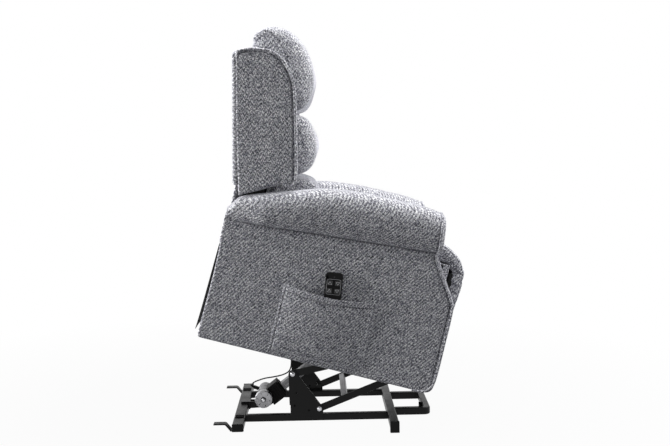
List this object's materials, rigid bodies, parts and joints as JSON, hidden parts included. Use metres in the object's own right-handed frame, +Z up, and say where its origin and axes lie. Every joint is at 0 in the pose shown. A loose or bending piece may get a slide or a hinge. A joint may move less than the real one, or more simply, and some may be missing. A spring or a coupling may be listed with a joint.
{
  "type": "power lift recliner chair",
  "caption": "Raised power lift recliner: pillow back with wings, rolled arms, side pocket with handset, folding legrest and steel lift base.",
  "frame": {"origin": "middle of the underside of the central rubber foot beneath the rear floor tube, on the floor", "axes": "+X the way the sitter faces, +Y to the sitter's left, +Z up; stored in the raised position"},
  "size_m": [0.9343, 0.802, 1.428],
  "materials": {
    "upholstery": "grey speckled twill",
    "black_cloth": "plain black lining cloth",
    "black_steel": "black powder coat",
    "grey_metal": "satin",
    "zinc": "zinc plate",
    "wood": "raw softwood",
    "black_plastic": "moulded",
    "rubber": "moulded",
    "keys": "soft keys"
  },
  "bodies": {
    "base": {"rear_tube": "black_steel", "front_tube": "black_steel", "side_rails": "black_steel", "bumper": "black_steel", "tower_plates": "black_steel", "tower_bolts": "zinc", "end_caps": "black_plastic", "rear_hooks": "black_steel", "feet": "rubber", "tube_pads": "black_plastic", "motor_clevis": "black_steel", "clevis_pin": "zinc"},
    "upper_links": {"upper_links": "black_steel", "upper_cross_tube": "black_steel"},
    "lower_links": {"lower_links": "black_steel", "lower_cross_tube": "grey_metal"},
    "lift_drive": {"lift_gearbox": "black_plastic", "lift_motor": "zinc", "motor_cap": "zinc", "lift_rail": "grey_metal", "lift_lead": "black_plastic"},
    "lift_carriage": {"lift_carriage": "black_plastic"},
    "chair": {"lift_rails": "black_steel", "cross_tubes": "black_steel", "frame_pins": "zinc", "side_box_r": "upholstery", "side_box_l": "upholstery", "arm_pad_r": "upholstery", "arm_pad_l": "upholstery", "side_pocket": "upholstery", "seat_rails": "wood", "seat_deck": "black_steel", "seat_cushion": "upholstery", "rear_flap": "black_cloth", "control_box": "black_plastic"},
    "back": {"back_plates": "black_steel", "back_lever": "black_steel", "back_stiles": "wood", "back_rails": "wood", "back_shell": "upholstery", "wing_r": "upholstery", "wing_l": "upholstery", "head_pillow": "upholstery", "lumbar_pillow": "upholstery", "lower_pillow": "upholstery"},
    "back_drive": {"back_drive": "grey_metal"},
    "back_carriage": {"back_carriage": "black_plastic"},
    "leg_rear": {"leg_rear_arms": "black_steel", "leg_torque_tube": "black_steel"},
    "leg_front": {"leg_front_arms": "black_steel", "leg_front_tube": "black_steel"},
    "footrest": {"footrest_brackets": "black_steel", "footrest_board": "wood", "footrest_pad": "upholstery"},
    "handset": {"handset_case": "black_plastic"},
    "key_back_up": {"key_back_up": "keys"},
    "key_back_down": {"key_back_down": "keys"},
    "key_lift_up": {"key_lift_up": "keys"},
    "key_lift_down": {"key_lift_down": "keys"}
  },
  "joints": [
    {"name": "lift", "type": "hinge", "parent": "base", "child": "upper_links", "pos_m": [0.1905, 0, 0.1795], "axis": [0, 1, 0], "range_deg": [0, 18.86], "deforming": ["lift_lead"]},
    {"name": "seat_level", "type": "hinge", "parent": "upper_links", "child": "chair", "pos_m": [0.57678, 0, 0.26161], "axis": [0, 1, 0], "range_deg": [-34.11, 0]},
    {"name": "lower_link", "type": "hinge", "parent": "base", "child": "lower_links", "pos_m": [0.2845, 0, 0.0517], "axis": [0, 1, 0], "range_deg": [0, 18.46]},
    {"name": "drive_swing", "type": "hinge", "parent": "base", "child": "lift_drive", "pos_m": [0.06, 0, 0.028], "axis": [0, 1, 0], "range_deg": [0, 19.13]},
    {"name": "carriage_slide", "type": "slide", "parent": "lift_drive", "child": "lift_carriage", "axis": [0.7986, 0, 0.6018], "range_m": [-0.08152, 0]},
    {"name": "recline", "type": "hinge", "parent": "chair", "child": "back", "pos_m": [0.036, 0, 0.617], "axis": [0, -1, 0], "range_deg": [0, 40], "deforming": ["rear_flap"]},
    {"name": "back_drive_swing", "type": "hinge", "parent": "chair", "child": "back_drive", "pos_m": [0.56739, 0.06, 0.40472], "axis": [0, 1, 0], "range_deg": [-0.02, 3.42]},
    {"name": "back_carriage_slide", "type": "slide", "parent": "back_drive", "child": "back_carriage", "axis": [0.9831, 0, -0.1833], "range_m": [0, 0.06982]},
    {"name": "legrest", "type": "hinge", "parent": "chair", "child": "leg_rear", "pos_m": [0.60074, 0, 0.47027], "axis": [0, -1, 0], "range_deg": [0, 122.49]},
    {"name": "leg_knee", "type": "hinge", "parent": "leg_rear", "child": "leg_front", "pos_m": [0.53541, 0, 0.26544], "axis": [0, -1, 0], "range_deg": [-179.86, 0]},
    {"name": "footrest_turn", "type": "hinge", "parent": "leg_front", "child": "footrest", "pos_m": [0.69983, 0, 0.40397], "axis": [0, -1, 0], "range_deg": [0, 143.37]},
    {"name": "handset_slide", "type": "slide", "parent": "chair", "child": "handset", "axis": [0.1167, 0, 0.9932], "range_m": [0, 0.1]},
    {"name": "press_back_up", "type": "slide", "parent": "handset", "child": "key_back_up", "axis": [0, 1, 0], "range_m": [0, 0.0012], "stiffness_N_per_m": 600, "springref_m": -0.0008},
    {"name": "press_back_down", "type": "slide", "parent": "handset", "child": "key_back_down", "axis": [0, 1, 0], "range_m": [0, 0.0012], "stiffness_N_per_m": 600, "springref_m": -0.0008},
    {"name": "press_lift_up", "type": "slide", "parent": "handset", "child": "key_lift_up", "axis": [0, 1, 0], "range_m": [0, 0.0012], "stiffness_N_per_m": 600, "springref_m": -0.0008},
    {"name": "press_lift_down", "type": "slide", "parent": "handset", "child": "key_lift_down", "axis": [0, 1, 0], "range_m": [0, 0.0012], "stiffness_N_per_m": 600, "springref_m": -0.0008}
  ],
  "couplings": [
    {"joint": "seat_level", "follows": "lift", "ratio": -1.8061},
    {"joint": "lower_link", "follows": "lift", "ratio": 0.97639},
    {"joint": "drive_swing", "follows": "lift", "ratio": 1.0116},
    {"joint": "carriage_slide", "follows": "lift", "m_per_rad": -0.24709},
    {"joint": "back_drive_swing", "follows": "recline", "ratio": 0.085034},
    {"joint": "back_carriage_slide", "follows": "recline", "m_per_rad": 0.099717},
    {"joint": "leg_knee", "follows": "legrest", "ratio": -1.4679},
    {"joint": "footrest_turn", "follows": "legrest", "ratio": 1.17}
  ]
}
